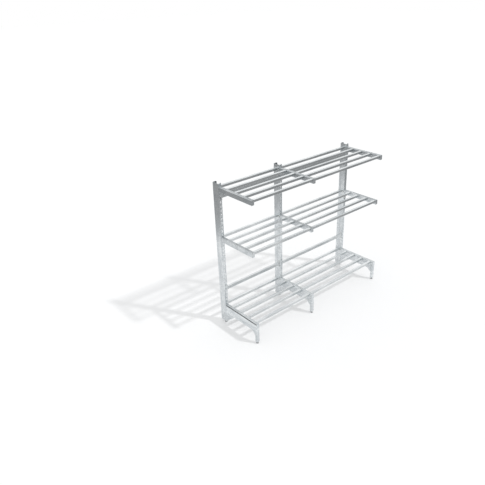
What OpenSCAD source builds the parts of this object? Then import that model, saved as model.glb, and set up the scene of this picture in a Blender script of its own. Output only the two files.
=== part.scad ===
// Single-sided tyre storage rack: three uprights on feet, three levels of bars in two bays.
// +X runs along the rack, -Y is the front, +Z is up. The origin is on the floor, at the middle
// of the rack's length and depth.

/* [Overall] */
// Distance between the left and the middle upright, centre to centre
bay_left = 900; // [600:50:1500]
// Distance between the middle and the right upright, centre to centre
bay_right = 1200; // [600:50:1500]
// Height of the uprights' tops above the floor
rack_h = 1800; // [1500:10:2400]

/* [Uprights] */
// Width of an upright, seen from the front
up_w = 42; // [40:1:60]
// Depth of an upright, front to rear
up_d = 100; // [80:1:120]
// Sheet thickness of an upright
up_t = 2.5; // [2:0.5:4]
// Width of each lip on the open side, to its outer face
up_lip = 20; // [20:1:30]
// Outside radius of the bends
up_r = 4; // [4:0.5:6]
// Height of the lowest slot's middle above the floor
slot_first = 333; // [300:1:400]
// Distance from slot to slot
slot_pitch = 50; // [50:1:75]
// Width of a slot
slot_w = 8; // [8:0.5:10]
// Height of a slot
slot_h = 30; // [28:1:36]
// Height of the lower wall fixing hole above the floor
wall_hole_z = 1350; // [1200:10:1400]
// Distance between an upright's two wall fixing holes
wall_hole_pitch = 100; // [60:10:150]
// Diameter of a wall fixing hole
wall_hole_d = 9; // [7:0.5:11]

/* [Shelf arms] */
// Wanted height of the middle arms' tops, moved to the nearest slot
mid_level = 1160; // [700:10:1250]
// Wanted distance of the top arms below the uprights' tops, moved to the nearest slot
top_gap = 40; // [30:5:150]
// Length of a top arm in front of the uprights
top_arm_l = 540; // [400:5:700]
// Length of a middle arm in front of the uprights
mid_arm_l = 526; // [400:5:700]
// Width of an arm
arm_w = 36; // [34:1:40]
// Height of an arm
arm_h = 58; // [50:1:70]
// Sheet thickness of an arm
arm_t = 3; // [2:0.5:4]
// Inside radius of an arm's bends
arm_r = 1; // [0.5:0.5:2]
// Height of the plate that holds the hooks
hook_plate_h = 116; // [112:1:140]
// Thickness of the hooks' plate
hook_plate_t = 4; // [3:0.5:6]
// Width of a hook
hook_w = 7; // [5:0.5:7.5]
// Height of a hook's neck
hook_neck_h = 16; // [12:1:17]
// How far a hook's nose reaches below its neck
hook_drop = 8; // [6:1:9]
// Thickness of a hook's nose
hook_nose_t = 5; // [4:0.5:7]

/* [Bars] */
// Number of bars on each level of each bay
bar_count = 5; // [3:1:6]
// Side of a bar's square section
bar_s = 30; // [25:1:35]
// Wall thickness of a bar
bar_t = 1.5; // [1.2:0.1:3]
// Outside corner radius of a bar
bar_r = 3; // [2:0.5:5]
// Distance of the front bar's middle behind the end of its arm, or behind the front leg
bar_front = 24; // [22:1:40]

/* [Base] */
// Height of the base arms' tops above the floor
base_z = 270; // [220:5:300]
// Length of a base foot in front of the uprights
base_l = 566; // [450:1:700]
// Thickness of the base foot's bolted rear plate
base_plate_t = 5; // [4:0.5:8]
// Height of the rear plate's lower edge above the floor
base_plate_z = 45; // [40:1:60]
// Height of a base foot's side plates, from the arm's top down
base_side_h = 112; // [70:1:140]
// Height of the groove along the left base arm's outer side
groove_h = 14; // [8:1:30]
// Length of the rear gusset along the foot
gusset_l = 160; // [120:5:250]
// Length of the level edge at the gusset's bottom
gusset_toe = 14; // [8:1:30]
// Length of the haunch behind the front leg
haunch_l = 55; // [30:1:80]
// Height of that haunch below the arm
haunch_h = 45; // [25:1:60]
// Side of the front leg's square tube
leg_w = 35; // [32:1:36]
// Wall thickness of the front leg
leg_t = 2.5; // [2:0.5:4]

/* [Rear beams] */
// Height of the lower beams' middle above the floor
beam_low_z = 482; // [400:1:700]
// Distance of the upper beams' middle below the top arms' tops
beam_drop = 108; // [100:1:200]
// Height of a lower beam
beam_low_h = 40; // [25:1:60]
// Height of an upper beam
beam_up_h = 60; // [40:1:80]
// Depth of a beam
beam_d = 30; // [20:1:40]
// Wall thickness of a beam
beam_t = 2; // [1.5:0.5:4]
// Distance of a beam's front face behind the uprights' front faces
beam_setback = 6; // [5:1:20]
// Thickness of a beam's end plate
end_plate_t = 4; // [3:0.5:6]
// How far an end plate reaches above and below its beam
end_plate_ear = 26; // [24:1:40]
// Heights of the spare bolts in each upright's lip
spare_bolt_z = [800, 1420]; // [700:10:1500]

/* [Feet] */
// Height from the floor to the plate that a foot carries
foot_h = 25; // [20:1:35]
// Diameter of a foot's pad
foot_d = 32; // [28:1:34]
// Diameter of a foot's threaded stud
stud_d = 10; // [8:1:12]
// Length of the stud above its pad
stud_l = 34; // [25:1:50]
// Thickness of the plate that a stud is screwed into
foot_plate_t = 5; // [4:1:8]
// Distance of an upright's foot behind the upright's front face
rear_foot_setback = 35; // [30:1:50]

/* [Clearances] */
// Gap between a screw and its hole, all round
hole_gap = 0.4; // [0.3:0.1:0.6]
// Gap between a bar and its window, beside and above it
bar_gap = 0.5; // [0.3:0.1:1]
// Distance of a bar's end from the middle of the arm that holds it
bar_end_gap = 1; // [0.5:0.5:2]
// Gap between a hook's nose and the sheet in front of it
hook_gap = 0.4; // [0.3:0.1:1]
// Gap between a foot's pad and the plate above it
foot_gap = 0.3; // [0.2:0.1:0.5]

/* [Hidden] */
$fn = 48;
eps = 0.01;          // how far a cut runs past a face
past = 20;           // how far a through cut runs past a sheet

// Places of the uprights and of their front faces
span = bay_left + bay_right;
up_x = [-span / 2, bay_left - span / 2, span / 2];
face_y = (base_l - up_d) / 2;

// Fasteners: shank diameter, head across corners, head height
bolt_d = 8;
bolt_head_d = 15;
bolt_head_h = 5.5;
nut_h = 6.5;
bolt_spare = 3;      // thread beyond the nut
lock_d = 6;
lock_head_d = 10;
lock_head_h = 3.5;
lock_spare = 5;
bar_screw_d = 5;
bar_screw_head_d = 9;
bar_screw_head_h = 3;
bar_screw_l = 13;
bar_screw_in = 8;    // distance of a bar's screw from the middle of its arm
weld_nut_d = 18.5;
weld_nut_h = 8;
plate_r = 1;         // corner radius of the plate that a foot is screwed into

// Bolts of the base: the lowest one's height, the distance between them, how many
base_bolt_z = 68;
base_bolt_pitch = 48;
base_bolt_count = 3;

// Bolts in an upright's side: in the flat of a lip, and above and below a beam
side_bolt_y = (up_r + up_lip) / 2;
end_plate_d = beam_d + 2 * beam_setback - up_r;

// Arms: the upper hook's slot below the arm's top, and the slots that the arms hang in
hook_z = 30;
seat_gap = 0.05;     // between a hook's neck and the slot's round end
hook_seat = slot_w / 2 - sqrt(pow(slot_w / 2, 2) - pow(hook_w / 2, 2)) + seat_gap;
function slot_of(top) = round((top - hook_z - slot_first) / slot_pitch);
function slot_z(k) = slot_first + slot_pitch * k;
slot_count = floor((rack_h - slot_h - slot_first) / slot_pitch) + 1;
top_z = slot_z(min(slot_of(rack_h - top_gap), slot_count - 1)) + hook_z;
mid_z = slot_z(slot_of(mid_level)) + hook_z;
lock_below = 6;      // the lock screw, below the lower hook's nose
lock_edge = 1;       // sheet left below the lock screw's head
lock_z = hook_z + slot_pitch + slot_h / 2 + hook_drop + lock_below;
lock_plate_h = max(hook_plate_h, lock_z + lock_head_d / 2 + lock_edge);

// Levels from the floor up: name, height of the arms' tops, length of the arms
LEVELS = ["base", "middle", "top"];
level_z = [base_z, mid_z, top_z];
level_l = [base_l, mid_arm_l, top_arm_l];
SIDES = ["left", "middle", "right"];
BAYS = ["left", "right"];
bar_drop = arm_t + bar_gap;          // bar's top below the arm's top
lip_z = bar_drop + bar_s;            // lip's upper edge below the arm's top
bar_mid_z = bar_drop + bar_s / 2;    // bar's middle below the arm's top
beam_z = [beam_low_z, top_z - beam_drop];
beam_h = [beam_low_h, beam_up_h];
function beam_bolt_dz(k) = (beam_h[k] + end_plate_ear) / 2;
BEAMS = ["lower", "upper"];

// Distance of a bar's middle behind the uprights' front faces: the first bar runs between the
// uprights, at half their depth, and the others lie in the arms at the same pitch
bar_rear = up_d / 2;
function bar_last(level) = level_l[level] - bar_front - (level == 0 ? leg_w : 0);
function bar_y(level, i) = bar_rear - (bar_last(level) + bar_rear) * i / (bar_count - 1);

// Bolts in the sides of the uprights, as [distance behind the front face, height]
rear_bar_bolt_y = [side_bolt_y, up_d - side_bolt_y];
bay_bolts = concat(
    [for (k = [0, 1]) for (s = [-1, 1]) [side_bolt_y, beam_z[k] + s * beam_bolt_dz(k)]],
    [for (z = level_z) for (y = rear_bar_bolt_y) [y, z - bar_mid_z]]
);
spare_bolts = [for (z = spare_bolt_z) [side_bolt_y, z]];
function bay_sides(i) = i == 0 ? [1] : i == 1 ? [-1, 1] : [-1];

function bar_name(level, bay, i) = str("bar_", LEVELS[level], "_", BAYS[bay], "_", i + 1);
function beam_name(k, bay) = str("rear_beam_", BEAMS[k], "_", BAYS[bay]);

// ---------- shared shapes ----------

// Rectangle with round corners, about the origin
module rounded_rect(w, d, r) {
    square([w - 2 * r, d], center = true);
    square([w, d - 2 * r], center = true);
    for (sx = [-1, 1]) for (sy = [-1, 1])
        translate([sx * (w / 2 - r), sy * (d / 2 - r)]) circle(r);
}

// Square or rectangular tube standing on z = 0
module tube(w, d, t, r, l) {
    linear_extrude(l) difference() {
        rounded_rect(w, d, r);
        rounded_rect(w - 2 * t, d - 2 * t, r - t + eps);
    }
}

// Lipped channel standing on z = 0, open towards +X
module upright_section() {
    difference() {
        rounded_rect(up_w, up_d, up_r);
        rounded_rect(up_w - 2 * up_t, up_d - 2 * up_t, up_r - up_t);
        translate([0, -(up_d / 2 - up_lip)]) square([up_w, up_d - 2 * up_lip]);
    }
}

// Section of an arm in the X-Z plane, its top at z = 0, with a groove towards -X if wanted
module arm_section(grooved) {
    difference() {
        translate([0, -arm_h / 2]) rounded_rect(arm_w, arm_h, arm_r + arm_t);
        translate([0, -arm_h / 2]) rounded_rect(arm_w - 2 * arm_t, arm_h - 2 * arm_t, arm_r);
        if (grooved) translate([-arm_w, -arm_t - groove_h]) square([arm_w, groove_h]);
    }
}

// Slot with round ends, cut along Y
module slot_cut(w, h) {
    cube([w, past, h - w], center = true);
    for (s = [-1, 1]) translate([0, 0, s * (h - w) / 2])
        rotate([90, 0, 0]) cylinder(h = past, d = w, center = true);
}

// Hole along Y, from the given point on both ways
module hole_y(d) {
    rotate([90, 0, 0]) cylinder(h = past, d = d, center = true);
}

// Hexagon bolt along +X: its head's underside is at x = 0 and its nut clamps the given grip
module hex_bolt(grip) {
    rotate([0, 90, 0]) {
        translate([0, 0, -bolt_head_h]) cylinder(h = bolt_head_h, d = bolt_head_d, $fn = 6);
        cylinder(h = grip + nut_h + bolt_spare, d = bolt_d);
        translate([0, 0, grip]) cylinder(h = nut_h, d = bolt_head_d, $fn = 6);
    }
}

// Screw along -Z with a round head: its head's underside is at z = 0
module round_screw(d, head_d, head_h, l) {
    cylinder(h = head_h, d = head_d);
    translate([0, 0, -l]) cylinder(h = l, d = d);
}

// Plate with the stud's hole and the welded nut at the given y, its underside at z = 0
module foot_plate(w, d, stud_y) {
    difference() {
        union() {
            linear_extrude(foot_plate_t) rounded_rect(w, d, plate_r);
            translate([0, stud_y, foot_plate_t]) cylinder(h = weld_nut_h, d = weld_nut_d, $fn = 6);
        }
        translate([0, stud_y, -eps])
            cylinder(h = foot_plate_t + weld_nut_h + 2 * eps, d = stud_d + 2 * foot_gap);
    }
}

// ---------- uprights ----------

// Bolt holes along X at the given places, through the sheet or plate at x = 0
module side_bolt_holes(places) {
    for (p = places) translate([0, p[0], p[1]])
        rotate([0, 90, 0]) cylinder(h = past, d = bolt_d + 2 * hole_gap, center = true);
}

module upright(i) {
    color("#c3c9cc") translate([up_x[i], face_y, 0]) difference() {
        translate([0, up_d / 2, foot_h]) {
            linear_extrude(rack_h - foot_h) upright_section();
            foot_plate(up_w, up_d, rear_foot_setback - up_d / 2);
        }
        for (k = [0:slot_count - 1]) translate([0, 0, slot_z(k)]) slot_cut(slot_w, slot_h);
        for (z = [mid_z, top_z]) translate([0, 0, z - lock_z]) hole_y(lock_d + 2 * hole_gap);
        for (k = [0:base_bolt_count - 1])
            translate([0, 0, base_bolt_z + base_bolt_pitch * k]) hole_y(bolt_d + 2 * hole_gap);
        for (k = [0, 1])
            translate([0, up_d, wall_hole_z + wall_hole_pitch * k]) hole_y(wall_hole_d);
        for (side = bay_sides(i)) translate([side * up_w / 2, 0, 0]) side_bolt_holes(bay_bolts);
        translate([up_w / 2, 0, 0]) side_bolt_holes(spare_bolts);
    }
}

// Mirrors a shape across the Y-Z plane when the side is -1
module scale_x(side) {
    mirror([side < 0 ? 1 : 0, 0, 0]) children();
}

// ---------- arms and base feet ----------

// Arm along -Y with a closed front end, and the bars' windows and screw holes on its bays' sides
module arm_tube(i, level, grooved) {
    l = level_l[level];
    difference() {
        union() {
            rotate([90, 0, 0]) linear_extrude(l) arm_section(grooved);
            translate([0, -l + arm_t, -arm_h / 2]) rotate([90, 0, 0])
                linear_extrude(arm_t) rounded_rect(arm_w, arm_h, arm_r + arm_t);
        }
        for (side = bay_sides(i)) for (k = [1:bar_count - 1])
            translate([0, bar_y(level, k), 0]) scale_x(side) {
                translate([arm_w / 2 - arm_t - arm_r, -bar_s / 2 - bar_gap, -lip_z])
                    cube([past, bar_s + 2 * bar_gap, bar_s + bar_gap]);
                translate([bar_screw_in, 0, -arm_t / 2])
                    cylinder(h = past, d = bar_screw_d + 2 * hole_gap, center = true);
            }
    }
}

// Hook that passes through an upright's front sheet, its neck resting in the slot's round end
module hook() {
    nose_y = up_t + hook_gap;
    translate([-hook_w / 2, 0, hook_seat - slot_h / 2]) {
        translate([0, -eps, 0]) cube([hook_w, nose_y + hook_nose_t, hook_neck_h]);
        translate([0, nose_y, -hook_drop]) cube([hook_w, hook_nose_t, hook_neck_h + hook_drop]);
    }
}

module shelf_arm(i, level) {
    color("#b9bfc3") translate([up_x[i], face_y, level_z[level]]) {
        arm_tube(i, level, false);
        difference() {
            translate([-arm_w / 2, -hook_plate_t, -lock_plate_h])
                cube([arm_w, hook_plate_t, lock_plate_h]);
            translate([0, 0, -lock_z]) hole_y(lock_d + 2 * hole_gap);
        }
        for (k = [0, 1]) translate([0, 0, -hook_z - slot_pitch * k]) hook();
    }
}

// Side plate's outline in the Y-Z plane: the deep strip beside the arm, the rear gusset and the haunch
module base_side_outline() {
    leg_y = base_l - leg_w;
    polygon([
        [0, -lip_z], [0, -(base_z - base_plate_z)],
        [-gusset_toe, -(base_z - base_plate_z)], [-gusset_l, -base_side_h],
        [-(leg_y - haunch_l), -base_side_h], [-leg_y, -(base_side_h + haunch_h)],
        [-leg_y, -lip_z]
    ]);
}

module base_foot(i) {
    color("#c6ccd0") translate([up_x[i], face_y, base_z]) {
        arm_tube(i, 0, i == 0);
        for (x = [-arm_w / 2, arm_w / 2 - arm_t]) translate([x, 0, 0])
            rotate([90, 0, 90]) linear_extrude(arm_t) base_side_outline();
        difference() {
            translate([-arm_w / 2, -base_plate_t, -(base_z - base_plate_z)])
                cube([arm_w, base_plate_t, base_z - base_plate_z]);
            for (k = [0:base_bolt_count - 1])
                translate([0, 0, base_bolt_z + base_bolt_pitch * k - base_z])
                    hole_y(bolt_d + 2 * hole_gap);
        }
    }
}

module front_leg(i) {
    color("#c6ccd0") translate([up_x[i], face_y - base_l + leg_w / 2, foot_h]) {
        tube(leg_w, leg_w, leg_t, up_r, base_z - arm_h - foot_h);
        foot_plate(leg_w - leg_t, leg_w - leg_t, 0);
    }
}

// ---------- bars and beams ----------

// Bar that lies in the arms of a level
module bar(level, bay, i) {
    start = up_x[bay] + bar_end_gap;
    l = up_x[bay + 1] - up_x[bay] - 2 * bar_end_gap;
    inset = bar_screw_in - bar_end_gap;
    color("#d2d7da")
        translate([start, face_y + bar_y(level, i), level_z[level] - bar_mid_z])
        difference() {
            rotate([90, 0, 90]) tube(bar_s, bar_s, bar_t, bar_r, l);
            for (x = [inset, l - inset]) translate([x, 0, bar_s / 2])
                cylinder(h = bar_s, d = bar_screw_d + 2 * hole_gap, center = true);
        }
}

// Tube from upright to upright with a bolted plate at each end, its middle at z = 0
module cross_tube(bay, mid_y, depth, height, wall, radius, plate_d, plate_h, bolts) {
    l = up_x[bay + 1] - up_x[bay] - up_w;
    translate([up_x[bay] + up_w / 2, face_y, 0]) {
        translate([end_plate_t, mid_y, 0]) rotate([90, 0, 90])
            tube(depth, height, wall, radius, l - 2 * end_plate_t);
        for (x = [0, l - end_plate_t]) difference() {
            translate([x, up_r, -plate_h / 2]) cube([end_plate_t, plate_d, plate_h]);
            translate([x, 0, 0]) side_bolt_holes(bolts);
        }
    }
}

module rear_bar(level, bay) {
    color("#d2d7da") translate([0, 0, level_z[level] - bar_mid_z])
        cross_tube(bay, bar_rear, bar_s, bar_s, bar_t, bar_r, up_d - 2 * up_r, bar_s,
                   [for (y = rear_bar_bolt_y) [y, 0]]);
}

module rear_beam(k, bay) {
    color("#a9aeb2") translate([0, 0, beam_z[k]])
        cross_tube(bay, beam_setback + beam_d / 2, beam_d, beam_h[k], beam_t, up_r, end_plate_d,
                   beam_h[k] + 2 * end_plate_ear, [for (s = [-1, 1]) [side_bolt_y, s * beam_bolt_dz(k)]]);
}

// ---------- levelling feet ----------

// Moulded pad with its stud, standing on z = 0
module levelling_foot() {
    pad_h = foot_h - foot_gap;
    edge = 1.5;
    rim_h = pad_h * 0.4;
    taper = 4;
    stud_edge = 1;
    color("#2b2d2f") rotate_extrude() polygon([
        [0, 0], [foot_d / 2 - edge, 0], [foot_d / 2, edge], [foot_d / 2, rim_h],
        [foot_d / 2 - taper, pad_h], [stud_d / 2, pad_h], [stud_d / 2, pad_h + stud_l - stud_edge],
        [stud_d / 2 - stud_edge, pad_h + stud_l], [0, pad_h + stud_l]
    ]);
}

module front_foot(i) {
    translate([up_x[i], face_y - base_l + leg_w / 2, 0]) levelling_foot();
}

module rear_foot(i) {
    translate([up_x[i], face_y + rear_foot_setback, 0]) levelling_foot();
}

// ---------- fasteners ----------

// Bolts through the end plates of the beams and rear bars, and the spare ones that wait in the lips
module side_bolts() {
    color("#d8dcdc") for (i = [0:2]) {
        for (side = bay_sides(i)) for (p = bay_bolts)
            translate([up_x[i] + side * (up_w / 2 + end_plate_t), face_y + p[0], p[1]])
                scale_x(-side) hex_bolt(up_t + end_plate_t);
        for (p = spare_bolts)
            translate([up_x[i] + up_w / 2, face_y + p[0], p[1]]) scale_x(-1) hex_bolt(up_t);
    }
}

// Bolts through the base feet's rear plates into the uprights
module base_bolts() {
    color("#d8dcdc") for (i = [0:2]) for (k = [0:base_bolt_count - 1])
        translate([up_x[i], face_y - base_plate_t, base_bolt_z + base_bolt_pitch * k])
            rotate([0, 0, 90]) hex_bolt(up_t + base_plate_t);
}

// One screw below each hooked arm, which stops it from lifting out
module arm_lock_screws() {
    color("#d8dcdc") for (i = [0:2]) for (z = [mid_z, top_z])
        translate([up_x[i], face_y - hook_plate_t, z - lock_z]) rotate([90, 0, 0])
            round_screw(lock_d, lock_head_d, lock_head_h, hook_plate_t + up_t + lock_spare);
}

// One screw through the arm above each end of each bar
module bar_screws() {
    color("#d8dcdc") for (level = [0:2]) for (bay = [0:1]) for (i = [1:bar_count - 1])
        for (x = [up_x[bay] + bar_screw_in, up_x[bay + 1] - bar_screw_in])
            translate([x, face_y + bar_y(level, i), level_z[level]])
                round_screw(bar_screw_d, bar_screw_head_d, bar_screw_head_h, bar_screw_l);
}

// ---------- the rack ----------

for (i = [0:2]) {
    upright(i);
    base_foot(i);
    front_leg(i);
    shelf_arm(i, 1);
    shelf_arm(i, 2);
    front_foot(i);
    rear_foot(i);
}
for (level = [0:2]) for (bay = [0:1]) {
    rear_bar(level, bay);
    for (i = [1:bar_count - 1])
        bar(level, bay, i);
}
for (k = [0:1]) for (bay = [0:1])
    rear_beam(k, bay);
side_bolts();
base_bolts();
arm_lock_screws();
bar_screws();
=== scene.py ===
"""Looks of a tyre storage rack: galvanised steelwork, zinc-plated fasteners and moulded levelling feet."""

import logging
import math
import random
from dataclasses import dataclass, field
from enum import Enum

import bmesh
import bpy
from bmesh.types import BMesh
from bpy.types import Camera, Light, Material, Mesh, Node, NodeOutputs, NodeSocket, NodeTree, Object
from mathutils import Matrix, Quaternion, Vector

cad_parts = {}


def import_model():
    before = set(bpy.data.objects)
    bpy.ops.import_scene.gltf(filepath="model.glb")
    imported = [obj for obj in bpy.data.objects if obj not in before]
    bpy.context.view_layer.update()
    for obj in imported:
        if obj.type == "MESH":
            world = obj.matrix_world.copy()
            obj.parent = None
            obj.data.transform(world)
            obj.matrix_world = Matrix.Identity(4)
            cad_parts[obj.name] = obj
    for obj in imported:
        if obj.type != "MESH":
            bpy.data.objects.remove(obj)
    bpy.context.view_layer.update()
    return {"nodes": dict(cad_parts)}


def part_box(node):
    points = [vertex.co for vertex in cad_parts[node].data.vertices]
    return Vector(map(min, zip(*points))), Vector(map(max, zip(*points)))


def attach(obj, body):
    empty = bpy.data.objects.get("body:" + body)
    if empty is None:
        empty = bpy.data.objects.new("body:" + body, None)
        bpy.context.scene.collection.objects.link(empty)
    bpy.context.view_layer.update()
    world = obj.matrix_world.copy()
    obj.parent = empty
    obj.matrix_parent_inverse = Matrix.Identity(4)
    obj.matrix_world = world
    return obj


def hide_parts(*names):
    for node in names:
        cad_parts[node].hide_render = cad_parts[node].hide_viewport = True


LOG = logging.getLogger("tyre_rack")
MM = 0.001
HEXAGON = 6
ARM_BARS = range(2, 6)
SHARP_ANGLE = math.radians(34)
TIMES = {"operation": "MULTIPLY"}
TIMES_PLUS = {"operation": "MULTIPLY_ADD"}

Point = tuple[float, float, float]
Profile = list[tuple[float, float]]
Colour = tuple[float, float, float, float]
Ramp = tuple[tuple[float, Colour], ...]
Surface = tuple[NodeSocket | Node, Node]
Drawn = tuple[NodeSocket, Node, Node]


# ---------- names and places that the pieces share ----------


class Side(Enum):
    """The three uprights, each with its arms, base foot and feet."""

    LEFT = "left"
    MIDDLE = "middle"
    RIGHT = "right"


class Bay(Enum):
    """The two bays, each with the uprights at its ends."""

    LEFT = (Side.LEFT, Side.MIDDLE)
    RIGHT = (Side.MIDDLE, Side.RIGHT)

    @property
    def word(self) -> str:
        """Returns the bay's word in the names of nodes."""
        return self.name.lower()


class Level(Enum):
    """The three levels of bars, by the node that carries each."""

    BASE = "base_foot"
    MIDDLE = "middle_arm"
    TOP = "top_arm"

    def bar(self, bay: Bay, number: int) -> str:
        """Returns the node name of a bar of this level, counted from the rear."""
        return f"bar_{self.name.lower()}_{bay.word}_{number}"


HOOKED = (Level.MIDDLE, Level.TOP)


class Pointing(Enum):
    """Ways that a fastener points, as the turn that brings its +Z axis there."""

    RIGHT = (math.radians(90), "Y")
    LEFT = (math.radians(-90), "Y")
    REAR = (math.radians(-90), "X")
    DOWN = (math.radians(180), "X")

    def at(self, x: float, y: float, z: float) -> Matrix:
        """Returns the matrix that takes the underside of a fastener's head here from the origin."""
        angle, axis = self.value
        return Matrix.Translation((x, y, z)) @ Matrix.Rotation(angle, 4, axis)


@dataclass(frozen=True)
class Layout:
    """Places read from the frame's nodes, in metres."""

    upright_x: dict[Side, float]
    half_width: float
    front_y: float
    rear_y: float
    arm_top: dict[Level, float]

    @classmethod
    def read(cls) -> "Layout":
        """Reads the loaded frame.

        Returns:
            Its layout.
        """
        boxes = {side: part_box(f"upright_{side.value}") for side in Side}
        low, high = boxes[Side.LEFT]
        return cls(
            upright_x={side: (box[0][0] + box[1][0]) / 2 for side, box in boxes.items()},
            half_width=(high[0] - low[0]) / 2,
            front_y=low[1],
            rear_y=high[1],
            arm_top={level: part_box(f"{level.value}_left")[1][2] for level in Level},
        )

    def bay_sides(self, side: Side) -> list[int]:
        """Returns the sides of an upright that have a bay, as -1 and +1 along X."""
        return {Side.LEFT: [1], Side.MIDDLE: [-1, 1], Side.RIGHT: [-1]}[side]

    def bay_ends(self, bay: Bay, inset: float) -> tuple[float, float]:
        """Returns the left and right place in a bay that are this far in from its uprights' middles."""
        left, right = bay.value
        return self.upright_x[left] + inset, self.upright_x[right] - inset


# ---------- shader building ----------


def colour(hex_code: str) -> Colour:
    """Turns an sRGB hex colour to the linear colour that sockets take.

    Args:
        hex_code: Six hex digits, such as "C8CCCE".

    Returns:
        Linear red, green, blue and an alpha of 1.
    """
    parts = [int(hex_code[i : i + 2], 16) / 255 for i in (0, 2, 4)]
    linear = [c / 12.92 if c <= 0.04045 else ((c + 0.055) / 1.055) ** 2.4 for c in parts]
    return (linear[0], linear[1], linear[2], 1.0)


def per_metre(size_mm: float) -> float:
    """Returns the texture scale that makes a pattern's features this many millimetres wide."""
    return 1000.0 / size_mm


def blank_tree(name: str) -> tuple[Material, NodeTree]:
    """Makes a material without nodes.

    Args:
        name: The finish's name.

    Returns:
        The new material and its empty node tree.
    """
    material = bpy.data.materials.new(name)
    material.use_nodes = True
    material.node_tree.nodes.clear()
    return material, material.node_tree


def add(
    tree: NodeTree,
    kind: str,
    settings: dict[str | int, object] | None = None,
    links: dict[str | int, NodeSocket | Node] | None = None,
) -> Node:
    """Adds a shader node with its settings and links.

    Args:
        tree: The tree that gets the node.
        kind: The node's type, without "ShaderNode".
        settings: Values by name. A lower-case name is a property, "stops" fills a colour ramp, and
            any other name or number is an input.
        links: What feeds each input, by its name or number: an output socket, or a node for its
            first output.

    Returns:
        The new node.
    """
    node = tree.nodes.new(f"ShaderNode{kind}")
    for key, value in (settings or {}).items():
        if key == "stops":
            while len(node.color_ramp.elements) < len(value):
                node.color_ramp.elements.new(1.0)
            for element, (position, tone) in zip(node.color_ramp.elements, value):
                element.position, element.color = position, tone
        elif isinstance(key, str) and key.islower():
            setattr(node, key, value)
        else:
            node.inputs[key].default_value = value
    for key, source in (links or {}).items():
        socket = source.outputs[0] if isinstance(source, Node) else source
        tree.links.new(socket, node.inputs[key])
    return node


def upward_faces(tree: NodeTree, normal: NodeSocket, start: float, full: float) -> Node:
    """Returns a node that goes from 0 to 1 as the normal's upward share goes from start to full."""
    upward = add(tree, "SeparateXYZ", links={"Vector": normal}).outputs["Z"]
    return add(tree, "MapRange", {"From Min": start, "From Max": full}, {"Value": upward})


def cover(tree: NodeTree, under: Surface, share: Node, hex_code: str, rougher: float) -> Surface:
    """Returns a surface under a layer that has this share at each place, this colour and more roughness."""
    mixed = add(tree, "Mix", {"data_type": "RGBA", 7: colour(hex_code)}, {0: share, 6: under[0]})
    return mixed.outputs[2], add(tree, "Math", {**TIMES_PLUS, 1: rougher}, {0: share, 2: under[1]})


# ---------- finishes ----------


@dataclass(frozen=True)
class Finish:
    """What all finishes share: a name, a fine relief and the way to end them."""

    name: str
    relief_mm: float
    relief_share: float

    def constants(self) -> dict[str, float]:
        """Returns the shader's values that are the same all over, which are a bare metal's."""
        return {"Metallic": 1.0}

    def draw(self, tree: NodeTree, coords: NodeOutputs) -> Drawn:
        """Stands for the drawing that each finish does in its own way."""
        raise NotImplementedError

    def material(self) -> Material:
        """Builds the finish.

        Returns:
            The material.
        """
        material, tree = blank_tree(self.name)
        coords = add(tree, "TexCoord").outputs
        base, rough, height = self.draw(tree, coords)
        relief = {"Strength": self.relief_share, "Distance": self.relief_mm * MM}
        bump = add(tree, "Bump", relief, {"Height": height})
        feeds = {"Base Color": base, "Roughness": rough, "Normal": bump}
        shader = add(tree, "BsdfPrincipled", self.constants(), feeds)
        add(tree, "OutputMaterial", links={"Surface": shader})
        LOG.info("finish: %s", self.name)
        return material


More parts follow.
